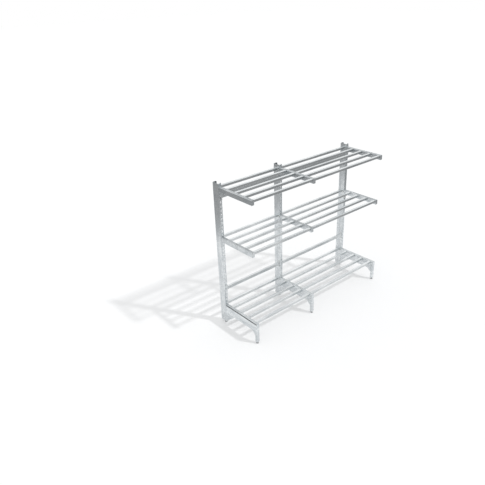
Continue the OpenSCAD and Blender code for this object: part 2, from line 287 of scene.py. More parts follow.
@dataclass(frozen=True)
class HotDipGalvanised(Finish):
    """Steel dipped in molten zinc after it was cut, bent and welded.

    The eye sees a pale grey metal with faint frost-like crystals, called spangle, cloudy duller
    areas where the zinc has weathered, soft run marks along the piece, and a slightly wavy skin.
    Faces that look up are darker and duller: painted shade on the tops, drawn as patchy dust.
    """

    light: str = "EAEDEE"
    middle: str = "DADEE0"
    dark: str = "C9CED1"
    tone_steps: tuple[float, float, float] = (0.66, 0.85, 1.0)
    tone_share: float = 0.8
    patina: str = "C6CACC"
    patina_share: float = 0.55
    patina_rough: float = 0.16
    # Painted shade: the dark grey of the patchy cover on upward faces, which stands in for shade on the tops.
    dust: str = "909496"
    dust_share: tuple[float, float] = (0.45, 0.8)
    dust_rough: float = 0.22
    spangle_mm: float = 14.0
    spangle_share: float = 0.22
    spangle_relief: float = 0.18
    cloud_mm: float = 170.0
    cloud_share: float = 0.85
    run_mm: tuple[float, float, float] = (16.0, 16.0, 420.0)
    ripple_mm: float = 9.0
    relief_mm: float = 0.35
    relief_share: float = 0.16
    smooth: float = 0.24
    rough: float = 0.36

    def crystals(self, tree: NodeTree, place: NodeSocket) -> NodeSocket:
        """Draws the spangle.

        Args:
            tree: The finish's tree.
            place: The Object coordinates.

        Returns:
            A number of its own for each crystal, from 0 to 1.
        """
        # The crystals have feathered borders, so the pattern is shaken by a fifth of a crystal.
        half = per_metre(self.spangle_mm / 2)
        shake = add(tree, "TexNoise", {"Scale": half, "Detail": 2.0}, {"Vector": place})
        nudge = {**TIMES_PLUS, 1: (self.spangle_mm * MM / 5,) * 3}
        shaken = add(tree, "VectorMath", nudge, {0: shake.outputs["Color"], 2: place})
        # Spangle is 5 to 20 mm across on dipped sections, and is drawn at its real size.
        spangle = add(tree, "TexVoronoi", {"Scale": per_metre(self.spangle_mm)}, {"Vector": shaken})
        return add(tree, "SeparateColor", links={"Color": spangle.outputs["Color"]}).outputs["Red"]

    def zinc_tone(self, tree: NodeTree, place: NodeSocket, crystal: NodeSocket) -> Node:
        """Mixes the clouds, the runs along the piece and the spangle.

        Args:
            tree: The finish's tree.
            place: The Object coordinates.
            crystal: The spangle.

        Returns:
            The node that gives how light and smooth the zinc is.
        """
        clouds = {"Scale": per_metre(self.cloud_mm), "Detail": 5.0, "Roughness": 0.55}
        cloud = add(tree, "TexNoise", clouds, {"Vector": place})
        drawn = add(tree, "Mapping", {"Scale": tuple(map(per_metre, self.run_mm))}, {"Vector": place})
        run = add(tree, "TexNoise", {"Scale": 1.0, "Detail": 3.0}, {"Vector": drawn})
        frost = {**TIMES_PLUS, 1: self.spangle_share}
        grain = add(tree, "Math", frost, {0: crystal, 2: run})
        return add(tree, "Math", {**TIMES_PLUS, 1: self.cloud_share}, {0: cloud, 2: grain})

    def draw(self, tree: NodeTree, coords: NodeOutputs) -> Drawn:
        """Draws the zinc with its spangle, its weathered patches and painted shade, drawn as dust, on its
        upper faces.

        Args:
            tree: The finish's tree.
            coords: The texture coordinates.

        Returns:
            What gives the colour, the roughness and the relief's height.
        """
        place = coords["Object"]
        crystal = self.crystals(tree, place)
        tone = self.zinc_tone(tree, place, crystal)
        tones = tuple(zip(self.tone_steps, map(colour, (self.dark, self.middle, self.light))))
        share = add(tree, "Math", {**TIMES, 1: self.tone_share}, {0: tone})
        metal = add(tree, "ValToRGB", {"stops": tones}, {"Fac": share})
        scale = per_metre(self.cloud_mm * 0.45)
        patches = {"Scale": scale, "Detail": 6.0, "Roughness": 0.65, "Distortion": 0.6}
        weather = add(tree, "TexNoise", patches, {"Vector": place})
        patchy = {"From Min": 0.50, "From Max": 0.72, "To Min": 0.0, "To Max": self.patina_share}
        dull = add(tree, "MapRange", patchy, {"Value": weather})
        skin = {"From Min": 0.35, "From Max": 1.25, "To Min": self.rough, "To Max": self.smooth}
        clean = add(tree, "MapRange", skin, {"Value": tone})
        zinc = cover(tree, (metal, clean), dull, self.patina, self.patina_rough)
        # Painted shade: upward faces get a patchy darker, duller cover that stands in for shade on the tops.
        top = upward_faces(tree, coords["Normal"], 0.70, 0.95)
        least, most = self.dust_share
        top_shade_range = {"From Min": 0.25, "From Max": 0.65, "To Min": least, "To Max": most}
        top_shade = add(tree, "MapRange", top_shade_range, {"Value": weather})
        darkened = add(tree, "Math", TIMES, {0: top, 1: top_shade})
        base, rough = cover(tree, zinc, darkened, self.dust, self.dust_rough)
        ripples = {"Scale": per_metre(self.ripple_mm), "Detail": 3.0, "Roughness": 0.5}
        ripple = add(tree, "TexNoise", ripples, {"Vector": place})
        height = add(tree, "Math", {**TIMES_PLUS, 1: self.spangle_relief}, {0: crystal, 2: ripple})
        return base, rough, height


@dataclass(frozen=True)
class GalvanisedTube(Finish):
    """Tube rolled and welded from strip that was galvanised before, so its zinc is thin and smooth.

    The eye sees a bright, even grey with fine lines along the tube from the rollers, dark rubber
    scuffs on its upper face where tyres are set down, and sharper reflections than on dipped steel.
    """

    light: str = "D8DBDC"
    dark: str = "C0C4C6"
    tone_steps: tuple[float, float] = (0.36, 0.60)
    tone_share: float = 0.6
    line_mm: float = 5.0
    line_length_mm: float = 700.0
    line_share: float = 0.7
    cloud_mm: float = 240.0
    scuff: str = "85888A"
    scuff_mm: float = 60.0
    scuff_share: float = 0.30
    scuff_rough: float = 0.5
    relief_mm: float = 0.15
    relief_share: float = 0.12
    smooth: float = 0.20
    rough: float = 0.33

    def draw(self, tree: NodeTree, coords: NodeOutputs) -> Drawn:
        """Draws the strip's zinc with its roller lines and the scuffs on its upper faces.

        Args:
            tree: The finish's tree.
            coords: The texture coordinates.

        Returns:
            What gives the colour, the roughness and the relief's height.
        """
        place = coords["Object"]
        # Roller lines are under 1 mm apart, and are drawn 5 to 8 mm apart so that they show.
        long, across = per_metre(self.line_length_mm), per_metre(self.line_mm)
        along = add(tree, "Mapping", {"Scale": (long, across, across)}, {"Vector": place})
        lines = add(tree, "TexNoise", {"Scale": 1.0, "Detail": 4.0, "Roughness": 0.6}, {"Vector": along})
        cloud = add(tree, "TexNoise", {"Scale": per_metre(self.cloud_mm), "Detail": 4.0}, {"Vector": place})
        tone = add(tree, "Math", {**TIMES_PLUS, 1: self.line_share}, {0: lines, 2: cloud})
        tones = tuple(zip(self.tone_steps, map(colour, (self.dark, self.light))))
        share = add(tree, "Math", {**TIMES, 1: self.tone_share}, {0: tone})
        metal = add(tree, "ValToRGB", {"stops": tones}, {"Fac": share})
        top = upward_faces(tree, coords["Normal"], 0.80, 0.98)
        rubs = {"Scale": per_metre(self.scuff_mm), "Detail": 7.0, "Roughness": 0.7}
        rub = add(tree, "TexNoise", rubs, {"Vector": place})
        rubbing = {"From Min": 0.56, "From Max": 0.76, "To Max": self.scuff_share}
        rubbed = add(tree, "MapRange", rubbing, {"Value": rub})
        worn = add(tree, "Math", TIMES, {0: top, 1: rubbed})
        skin = {"From Min": 0.4, "From Max": 1.2, "To Min": self.rough, "To Max": self.smooth}
        clean = add(tree, "MapRange", skin, {"Value": tone})
        return *cover(tree, (metal, clean), worn, self.scuff, self.scuff_rough), lines


@dataclass(frozen=True)
class BrightZincPlate(Finish):
    """Fasteners plated with bright zinc in a barrel and passivated clear.

    The eye sees a hard, mirror-like metal with a faint blue and straw bloom and small dull knocks.
    """

    blue: str = "D6DDE2"
    straw: str = "E4E2D6"
    bloom_mm: float = 12.0
    knock: str = "9DA0A1"
    knock_mm: float = 3.0
    knock_share: float = 0.6
    knock_rough: float = 0.25
    relief_mm: float = 0.08
    relief_share: float = 0.25
    smooth: float = 0.16
    rough: float = 0.30

    def draw(self, tree: NodeTree, coords: NodeOutputs) -> Drawn:
        """Draws the plate's bloom and its knocks.

        Args:
            tree: The finish's tree.
            coords: The texture coordinates.

        Returns:
            What gives the colour, the roughness and the relief's height.
        """
        place = coords["Object"]
        blooms = {"Scale": per_metre(self.bloom_mm), "Detail": 3.0, "Distortion": 1.0}
        bloom = add(tree, "TexNoise", blooms, {"Vector": place})
        tints = ((0.38, colour(self.blue)), (0.64, colour(self.straw)))
        tint = add(tree, "ValToRGB", {"stops": tints}, {"Fac": bloom})
        # Knocks from the plating barrel are 3 mm apart and about 1 mm wide.
        knocks = add(tree, "TexVoronoi", {"Scale": per_metre(self.knock_mm)}, {"Vector": place})
        pits = {"From Min": 0.10, "From Max": 0.26, "To Min": self.knock_share, "To Max": 0.0}
        pit = add(tree, "MapRange", pits, {"Value": knocks})
        clean = add(tree, "MapRange", {"To Min": self.smooth, "To Max": self.rough}, {"Value": bloom})
        return *cover(tree, (tint, clean), pit, self.knock, self.knock_rough), knocks


@dataclass(frozen=True)
class MouldedPolyamide(Finish):
    """Polyamide, moulded light grey in a spark-eroded tool.

    The eye sees a light grey plastic with a fine grain, a soft sheen on its edges, and a darker grey
    on its lowest few millimetres.
    """

    body: str = "A6A8A9"
    lighter: str = "B9BBBC"
    flow_mm: float = 14.0
    grain_mm: float = 0.9
    relief_mm: float = 0.1
    relief_share: float = 0.3
    dust: str = "7E7C76"
    dust_height_mm: float = 9.0
    dust_share: float = 0.7
    dust_rough: float = 0.5
    smooth: float = 0.42
    rough: float = 0.62
    ior: float = 1.53

    def constants(self) -> dict[str, float]:
        """Returns the shader's values that are the same all over, which are a plastic's."""
        return {"Metallic": 0.0, "IOR": self.ior}

    def draw(self, tree: NodeTree, coords: NodeOutputs) -> Drawn:
        """Draws the plastic with its grain and a darker grey near the floor.

        Args:
            tree: The finish's tree.
            coords: The texture coordinates.

        Returns:
            What gives the colour, the roughness and the relief's height.
        """
        place = coords["Object"]
        # The tool's grain is about 0.1 mm, and is drawn 0.9 mm wide so that it shows.
        grain = add(tree, "TexNoise", {"Scale": per_metre(self.grain_mm), "Detail": 3.0}, {"Vector": place})
        flow = add(tree, "TexNoise", {"Scale": per_metre(self.flow_mm), "Detail": 4.0}, {"Vector": place})
        bodies = ((0.35, colour(self.body)), (0.75, colour(self.lighter)))
        plastic = add(tree, "ValToRGB", {"stops": bodies}, {"Fac": flow})
        height = add(tree, "SeparateXYZ", links={"Vector": place}).outputs["Z"]
        # Darker towards the bottom: the lowest few millimetres blend to a darker grey.
        darkening_top = self.dust_height_mm * MM
        rising = {"From Min": 0.0, "From Max": darkening_top, "To Min": self.dust_share, "To Max": 0.0}
        low = add(tree, "MapRange", rising, {"Value": height})
        darkened = add(tree, "Math", TIMES, {0: low, 1: flow})
        clean = add(tree, "MapRange", {"To Min": self.smooth, "To Max": self.rough}, {"Value": grain})
        return *cover(tree, (plastic, clean), darkened, self.dust, self.dust_rough), grain


# ---------- shared ways of making a mesh ----------


def turned(profile: Profile, steps: int) -> BMesh:
    """Spins a profile about Z into a closed body.

    Args:
        profile: Radius and height pairs from one pole to the other.
        steps: The number of sides: 6 gives a hexagon.

    Returns:
        The body, with its faces pointing outwards.
    """
    body = bmesh.new()
    verts = [body.verts.new((radius, 0.0, z)) for radius, z in profile]
    edges = [body.edges.new(pair) for pair in zip(verts, verts[1:])]
    axis = (0.0, 0.0, 1.0)
    bmesh.ops.spin(body, geom=verts + edges, axis=axis, angle=math.tau, steps=steps, use_merge=True)
    bmesh.ops.remove_doubles(body, verts=body.verts[:], dist=1e-6)
    bmesh.ops.recalc_face_normals(body, faces=body.faces[:])
    return body


def thread(radius: float, depth: float, pitch: float, start: float, end: float) -> Profile:
    """Gives the profile of a screw thread as ridges.

    Args:
        radius: The radius over the ridges.
        depth: How far the grooves lie below the ridges.
        pitch: The distance from ridge to ridge.
        start: The height where the thread starts.
        end: The height that it stays under, above start.

    Returns:
        Radius and height pairs with a ridge at each pitch.
    """
    count = max(1, int((end - start) / pitch))
    pairs: Profile = []
    for k in range(count):
        pairs += [(radius - depth, start + k * pitch), (radius, start + (k + 0.5) * pitch)]
    return pairs + [(radius - depth, start + count * pitch)]


def mesh_of(body: BMesh, name: str) -> Mesh:
    """Turns a body to a mesh of this name.

    Args:
        body: The body, which is freed.
        name: The mesh's name.

    Returns:
        The mesh.
    """
    mesh = bpy.data.meshes.new(name)
    body.to_mesh(mesh)
    body.free()
    return mesh


def in_scene(name: str, data: Mesh | Light | Camera) -> Object:
    """Makes an object of a mesh, a lamp or a camera.

    Args:
        name: The object's name.
        data: What it shows or does.

    Returns:
        The object, linked to the scene.
    """
    thing = bpy.data.objects.new(name, data)
    bpy.context.scene.collection.objects.link(thing)
    return thing


def merge(target: BMesh, source: BMesh, place: Matrix, finish: int = 0) -> None:
    """Adds a copy of a body to a mesh.

    Args:
        target: The mesh that gets the copy.
        source: The body, which stays as it is.
        place: Where the copy goes.
        finish: The material slot of its faces.
    """
    copy = source.copy()
    bmesh.ops.transform(copy, matrix=place, verts=copy.verts[:])
    for face in copy.faces:
        face.material_index = finish
    mesh = mesh_of(copy, "copy")
    target.from_mesh(mesh)
    bpy.data.meshes.remove(mesh)


def make_piece(
    body: BMesh, name: str, finishes: list[Material], rides_on: str, stands_for: str | None = None
) -> None:
    """Turns a finished mesh into a piece of the object.

    Args:
        body: The mesh, already in its place, which is freed.
        name: The piece's name.
        finishes: The materials of its slots.
        rides_on: The body that it moves with.
        stands_for: The node that it replaces, if any.
    """
    mesh = mesh_of(body, name)
    mesh.shade_smooth()
    mesh.set_sharp_from_angle(angle=SHARP_ANGLE)
    for material in finishes:
        mesh.materials.append(material)
    piece = in_scene(name, mesh)
    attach(piece, rides_on)
    if stands_for:
        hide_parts(stands_for)
    LOG.info("%s: %d faces on %s", name, len(mesh.polygons), rides_on)


# ---------- levelling feet ----------


@dataclass
class LevellingFoot:
    """A moulded pad with a fluted rim and a hexagon collar, on a threaded steel stud."""

    pad_radius: float = 16.0 * MM
    rim_height: float = 7.0 * MM
    rim_chamfer: float = 1.6 * MM
    rim_round: float = 0.5 * MM
    waist_radius: float = 10.6 * MM
    flutes: int = 20
    flute_depth: float = 0.6 * MM
    flute_points: int = 4
    collar_radius: float = 11.9 * MM
    collar_height: float = 8.0 * MM
    collar_chamfer: tuple[float, float] = (1.1 * MM, 0.7 * MM)
    stud_radius: float = 5.0 * MM
    stud_length: float = 34.0 * MM
    stud_sides: int = 18
    stud_chamfer: tuple[float, float] = (0.4 * MM, 1.0 * MM)
    stud_sunk: float = 1.0 * MM
    thread_depth: float = 0.85 * MM
    thread_pitch: float = 1.5 * MM

    def pad(self, height: float) -> BMesh:
        """Makes the moulded pad.

        Args:
            height: The height of the collar's top above the floor.

        Returns:
            The pad, standing on the origin.
        """
        r, rim, chamfer, lip = self.pad_radius, self.rim_height, self.rim_chamfer, self.rim_round
        waist, base = self.waist_radius, height - self.collar_height
        pad = turned(
            [
                (0.0, 0.0), (r - chamfer, 0.0), (r - lip, lip), (r, chamfer),
                (r, rim - 1.5 * MM), (r - lip, rim - lip), (r - chamfer, rim),
                (waist + 1.2 * MM, rim + 1.0 * MM), (waist + 0.3 * MM, rim + 2.4 * MM),
                (waist, base - 1.5 * MM), (waist, base + lip), (0.0, base + lip),
            ],
            self.flutes * self.flute_points,
        )
        # The rim is drawn in by a wave round the pad, which gives the grip its flutes.
        for vert in pad.verts:
            radius = math.hypot(vert.co.x, vert.co.y)
            if radius > r - self.flute_depth and 1.0 * MM < vert.co.z < rim - 0.2 * MM:
                wave = 0.5 - 0.5 * math.cos(self.flutes * math.atan2(vert.co.y, vert.co.x))
                vert.co.xy *= 1 - self.flute_depth * wave / radius
        return pad

    def collar(self, height: float) -> BMesh:
        """Makes the hexagon that a spanner turns.

        Args:
            height: The height of its top above the floor.

        Returns:
            The collar, above the origin.
        """
        r, low = self.collar_radius, height - self.collar_height
        inward, up = self.collar_chamfer
        rows = [(r - inward, low), (r, low + up), (r, height - up), (r - inward, height)]
        return turned([(0.0, low), *rows, (0.0, height)], HEXAGON)

    def stud(self, start: float, end: float) -> BMesh:
        """Makes the threaded stud.

        Args:
            start: The height of its lower end, inside the pad.
            end: The height of its upper end.

        Returns:
            The stud, above the origin.
        """
        inward, down = self.stud_chamfer
        rows = thread(self.stud_radius, self.thread_depth, self.thread_pitch, start, end - down)
        tip = self.stud_radius - self.thread_depth - inward
        return turned([(0.0, start), *rows, (tip, end), (0.0, end)], self.stud_sides)

    def build(self, node: str, plastic: Material, zinc: Material) -> None:
        """Builds one foot in the place of its node.

        Args:
            node: The foot's node, whose name its body and piece share.
            plastic: The pad's material.
            zinc: The stud's material.
        """
        low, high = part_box(node)
        place = Matrix.Translation(((low[0] + high[0]) / 2, (low[1] + high[1]) / 2, low[2]))
        top = high[2] - low[2]
        pad_height = top - self.stud_length
        foot = bmesh.new()
        stud = self.stud(pad_height - self.stud_sunk, top)
        for body, finish in ((self.pad(pad_height), 0), (self.collar(pad_height), 0), (stud, 1)):
            merge(foot, body, place, finish)
            body.free()
        make_piece(foot, f"moulded_{node}", [plastic, zinc], f"{node}_leveller", node)


# ---------- fasteners ----------


@dataclass
class HexBolt:
    """An M8 hexagon bolt with its nut, along +Z from the underside of its head."""

    shank_radius: float = 4.0 * MM
    shank_sides: int = 16
    tip_chamfer: float = 0.3 * MM
    hex_radius: float = 7.5 * MM
    head: float = 5.5 * MM
    head_hollow: float = 0.5 * MM
    nut: float = 6.5 * MM
    spare: float = 3.0 * MM
    chamfer: tuple[float, float] = (1.0 * MM, 0.7 * MM)
    thread_depth: float = 0.65 * MM
    thread_pitch: float = 1.25 * MM

    def mesh(self, grip: float) -> BMesh:
        """Makes the bolt and its nut.

        Args:
            grip: The thickness that the bolt clamps.

        Returns:
            The bolt at the origin.
        """
        r, shank_r, nut_end = self.hex_radius, self.shank_radius, grip + self.nut
        inner, c, hollow = r - self.chamfer[0], self.chamfer[1], self.head_hollow - self.head
        bolt = turned(
            [
                (0.0, hollow), (r * 0.42, hollow), (r * 0.5, -self.head), (inner, -self.head),
                (r, c - self.head), (r, -0.3 * MM), (r - 0.5 * MM, 0.0), (0.0, 0.0),
            ],
            HEXAGON,
        )
        nut_rows = [(inner, grip), (r, grip + c), (r, nut_end - c), (inner, nut_end)]
        nut = turned([(0.0, grip), *nut_rows, (0.0, nut_end)], HEXAGON)
        end = nut_end + self.spare
        rows = thread(shank_r, self.thread_depth, self.thread_pitch, nut_end, end - self.tip_chamfer)
        tip = shank_r - self.thread_depth - self.tip_chamfer
        shank_rows = [(shank_r, 0.0), (shank_r, nut_end), *rows, (tip, end)]
        shank = turned([(0.0, 0.0), *shank_rows, (0.0, end)], self.shank_sides)
        for part in (nut, shank):
            merge(bolt, part, Matrix.Identity(4))
            part.free()
        return bolt


@dataclass(frozen=True)
class SocketScrew:
    """A screw with a domed head and a hexagon socket, along +Z from the underside of its head."""

    shank_radius: float
    head_radius: float
    head: float
    length: float
    pitch: float
    sides: int = 2 * HEXAGON
    socket_share: float = 0.42
    thread_share: float = 0.16

    def mesh(self) -> BMesh:
        """Makes the screw.

        Returns:
            The screw at the origin.
        """
        r, h, shank, length = self.head_radius, self.head, self.shank_radius, self.length
        socket = r * self.socket_share
        rows = thread(shank, shank * self.thread_share, self.pitch, 1.0 * MM, length - 1.0 * MM)
        screw = turned(
            [
                (0.0, -h * 0.45), (socket, -h * 0.45), (socket, -h), (r * 0.60, -h),
                (r * 0.80, -h * 0.86), (r * 0.94, -h * 0.58), (r, -h * 0.25),
                (r, -0.15 * MM), (r - 0.15 * MM, 0.0), (shank, 0.0),
                *rows, (shank * 0.6, length), (0.0, length),
            ],
            self.sides,
        )
        # Every second point of the socket's rows is drawn in, which makes them a hexagon.
        step = math.tau / self.sides
        for vert in screw.verts:
            if vert.co.z < -h * 0.4 and abs(math.hypot(vert.co.x, vert.co.y) - socket) < 1e-5:
                if round(math.atan2(vert.co.y, vert.co.x) / step) % 2:
                    vert.co.xy *= math.cos(step)
        return screw


@dataclass
class Fasteners:
    """All bolts and screws of the rack, as four pieces."""

    layout: Layout
    zinc: Material
    plate: float = 4.0 * MM
    sheet: float = 2.5 * MM
    base_plate: float = 5.0 * MM
    lip_middle: float = 12.0 * MM
    ear_middle: float = 13.0 * MM
    spare_heights: tuple[float, ...] = (800.0 * MM, 1420.0 * MM)
    base_heights: tuple[float, ...] = (68.0 * MM, 116.0 * MM, 164.0 * MM)
    lock_drop: float = 109.0 * MM
    lock: SocketScrew = SocketScrew(
        shank_radius=3.0 * MM, head_radius=5.0 * MM, head=3.5 * MM, length=11.5 * MM, pitch=1.0 * MM
    )
    bar_screw_in: float = 8.0 * MM
    bar_screw: SocketScrew = SocketScrew(
        shank_radius=2.5 * MM, head_radius=4.5 * MM, head=3.0 * MM, length=13.0 * MM, pitch=1.5 * MM
    )
    chance: random.Random = field(default_factory=lambda: random.Random(11))

    def spread(self, source: BMesh, places: list[Matrix], into: BMesh) -> None:
        """Puts a copy of a fastener at each place, each with its own turn.

        Args:
            source: The fastener, which is freed.
            places: Where the copies go.
            into: The mesh that gets them.
        """
        for place in places:
            turn = Matrix.Rotation(self.chance.uniform(0.0, math.tau), 4, "Z")
            merge(into, source, place @ turn)
        source.free()

    def side_places(self) -> list[Matrix]:
        """Finds the bolts through the end plates of the beams and rear bars.

        Returns:
            Their places.
        """
        spots = []
        for beam in ("lower", "upper"):
            low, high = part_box(f"rear_beam_{beam}_left")
            spots += [(self.lip_middle, z) for z in (low[2] + self.ear_middle, high[2] - self.ear_middle)]
        depth = self.layout.rear_y - self.layout.front_y
        for level in Level:
            low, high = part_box(level.bar(Bay.LEFT, 1))
            spots += [(y, (low[2] + high[2]) / 2) for y in (self.lip_middle, depth - self.lip_middle)]
        reach = self.layout.half_width + self.plate
        return [
            (Pointing.LEFT if side > 0 else Pointing.RIGHT).at(x + side * reach, self.layout.front_y + y, z)
            for upright, x in self.layout.upright_x.items()
            for side in self.layout.bay_sides(upright)
            for y, z in spots
        ]

    def columns(self, pointing: Pointing, aside: float, y: float, heights: tuple[float, ...]) -> list[Matrix]:
        """Returns the places at these heights on each upright, this far to the right of its middle."""
        return [pointing.at(x + aside, y, z) for x in self.layout.upright_x.values() for z in heights]

    def bar_places(self) -> list[Matrix]:
        """Finds the screws that hold the arm bars' ends.

        Returns:
            Their places.
        """
        places = []
        for level in Level:
            for bay in Bay:
                for number in ARM_BARS:
                    low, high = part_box(level.bar(bay, number))
                    y, z = (low[1] + high[1]) / 2, self.layout.arm_top[level]
                    ends = self.layout.bay_ends(bay, self.bar_screw_in)
                    places += [Pointing.DOWN.at(x, y, z) for x in ends]
        return places

    def build(self) -> None:
        """Builds the four pieces."""
        side_bolt, spare_bolt, base_bolt = (
            HexBolt().mesh(self.sheet + clamped) for clamped in (self.plate, 0.0, self.base_plate)
        )
        front, lip = self.layout.front_y, self.layout.half_width
        spares = self.columns(Pointing.LEFT, lip, front + self.lip_middle, self.spare_heights)
        bases = self.columns(Pointing.REAR, 0.0, front - self.base_plate, self.base_heights)
        heights = tuple(self.layout.arm_top[level] - self.lock_drop for level in HOOKED)
        locks = self.columns(Pointing.REAR, 0.0, front - self.plate, heights)
        pieces = {
            ("beam_and_bar_bolts", "side_bolts"): [(side_bolt, self.side_places()), (spare_bolt, spares)],
            ("base_foot_bolts", "base_bolts"): [(base_bolt, bases)],
            ("arm_securing_screws", "arm_lock_screws"): [(self.lock.mesh(), locks)],
            ("bar_fixing_screws", "bar_screws"): [(self.bar_screw.mesh(), self.bar_places())],
        }
        for (name, node), groups in pieces.items():
            body = bmesh.new()
            for fastener, places in groups:
                self.spread(fastener, places, body)
            make_piece(body, name, [self.zinc], "rack", node)


# ---------- welds ----------


@dataclass
class Welds:
    """Rippled weld beads in the corners of the base feet, the arms and the end plates."""

    layout: Layout
    zinc: Material
    radius: float = 2.4 * MM
    pitch: float = 3.6 * MM
    sides: int = 8
    # Where the beads' middles and ends lie, from the middle, face or end of the piece beside them.
    base_side: float = 14.6 * MM
    base_plate: float = 5.4 * MM
    base_plate_ends: tuple[float, float] = (6.0 * MM, 4.0 * MM)
    base_arm_run: tuple[float, float] = (12.0 * MM, 130.0 * MM)
    base_arm_under: float = 0.4 * MM
    leg_side: float = 17.0 * MM
    leg_rear: float = 0.2 * MM
    leg_top: float = 0.3 * MM
    leg_drop: tuple[float, float] = (92.0 * MM, 2.0 * MM)
    arm_plate: float = 4.4 * MM
    arm_under: float = 58.4 * MM
    arm_half: float = 15.0 * MM
    arm_side: tuple[float, float] = (17.2 * MM, 1.6 * MM)
    arm_drop: tuple[float, float] = (55.0 * MM, 3.0 * MM)
    end_plate: float = 4.3 * MM
    beam_ear: float = 26.0 * MM
    beam_depths: tuple[float, float] = (6.0 * MM, 36.0 * MM)
    bar_half: float = 15.0 * MM
    corner: float = 3.0 * MM

    def bead(self, into: BMesh, start: Point, end: Point) -> None:
        """Lays one bead along a corner.

        Args:
            into: The mesh that gets the bead.
            start: One end of the corner.
            end: The other end.
        """
        run = Vector(end) - Vector(start)
        count = max(3, round(run.length / self.pitch))
        step = run.length / count
        r = self.radius
        rows: Profile = [(0.0, 0.0), (r * 0.7, step * 0.15)]
        for k in range(count):
            # The welder's hand is uneven, so the ripples swell and shrink a little.
            swell = 1 + 0.06 * math.sin(2.3 * k)
            rows += [(r * swell, (k + 0.35) * step), (r * 0.84 * swell, (k + 0.85) * step)]
        rows[-1] = (r * 0.7, run.length - step * 0.1)
        body = turned([*rows, (0.0, run.length)], self.sides)
        place = Matrix.Translation(start) @ run.to_track_quat("Z", "Y").to_matrix().to_4x4()
        merge(into, body, place)
        body.free()

    def base_feet(self) -> None:
        """Builds the beads of the three base feet and front legs."""
        beads = bmesh.new()
        front = self.layout.front_y
        for side, x in self.layout.upright_x.items():
            plate_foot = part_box(f"base_foot_{side.value}")[0][2] + self.base_plate_ends[0]
            leg_low, leg_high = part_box(f"front_leg_{side.value}")
            leg_top, leg_rear = leg_high[2], leg_high[1] + self.leg_rear
            for sign in (-1, 1):
                inner, outer = x + sign * self.base_side, x + sign * self.leg_side
                # Down the rear plate, in the side plate's corner.
                y = front - self.base_plate
                self.bead(beads, (inner, y, plate_foot), (inner, y, leg_top - self.base_plate_ends[1]))
                # Along the arm's underside.
                near, far = (front - run for run in self.base_arm_run)
                z = leg_top - self.base_arm_under
                self.bead(beads, (inner, near, z), (inner, far, z))
                # Down the leg's rear corner, where the haunch meets it.
                low, high = (leg_top - drop for drop in self.leg_drop)
                self.bead(beads, (outer, leg_rear, low), (outer, leg_rear, high))
                # Across the leg's top, under the arm.
                z = leg_top - self.leg_top
                near, far = leg_low[1] + self.corner, leg_high[1] - self.corner
                self.bead(beads, (outer, near, z), (outer, far, z))
        make_piece(beads, "base_foot_welds", [self.zinc], "rack")

    def arms(self) -> None:
        """Builds the beads between the arms and their hook plates."""
        beads = bmesh.new()
        y = self.layout.front_y - self.arm_plate
        out, ahead = self.arm_side
        for x in self.layout.upright_x.values():
            for level in HOOKED:
                top = self.layout.arm_top[level]
                under = top - self.arm_under
                self.bead(beads, (x - self.arm_half, y, under), (x + self.arm_half, y, under))
                low, high = (top - drop for drop in self.arm_drop)
                self.bead(beads, (x + out, y + ahead, low), (x + out, y + ahead, high))
        make_piece(beads, "arm_plate_welds", [self.zinc], "rack")

    def beam_end(self, into: BMesh, x: float, node: str) -> None:
        """Lays the four beads round one end of a beam.

        Args:
            into: The mesh that gets them.
            x: Where the end plate's face is.
            node: The beam's node, whose end plates reach past it by an ear above and below.
        """
        low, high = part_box(node)
        front, rear = (self.layout.front_y + depth for depth in self.beam_depths)
        middle, half = (low[2] + high[2]) / 2, (high[2] - low[2]) / 2 - self.beam_ear
        for y in (front, rear):
            self.bead(into, (x, y, middle - half + self.corner), (x, y, middle + half - self.corner))
        for z in (middle - half, middle + half):
            self.bead(into, (x, front + self.corner, z), (x, rear - self.corner, z))

    def bar_end(self, into: BMesh, x: float, node: str) -> None:
        """Lays the two beads beside one end of a rear bar.

        Args:
            into: The mesh that gets them.
            x: Where the end plate's face is.
            node: The bar's node.
        """
        low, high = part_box(node)
        middle = (self.layout.front_y + self.layout.rear_y) / 2
        for y in (middle - self.bar_half, middle + self.bar_half):
            self.bead(into, (x, y, low[2] + self.corner), (x, y, high[2] - self.corner))

    def cross_tubes(self) -> None:
        """Builds the beads round the ends of the beams and the rear bars."""
        beads = bmesh.new()
        for bay in Bay:
            for x in self.layout.bay_ends(bay, self.layout.half_width + self.end_plate):
                for beam in ("lower", "upper"):
                    self.beam_end(beads, x, f"rear_beam_{beam}_{bay.word}")
                for level in Level:
                    self.bar_end(beads, x, level.bar(bay, 1))
        make_piece(beads, "end_plate_welds", [self.zinc], "rack")


# ---------- finishes of the steelwork ----------


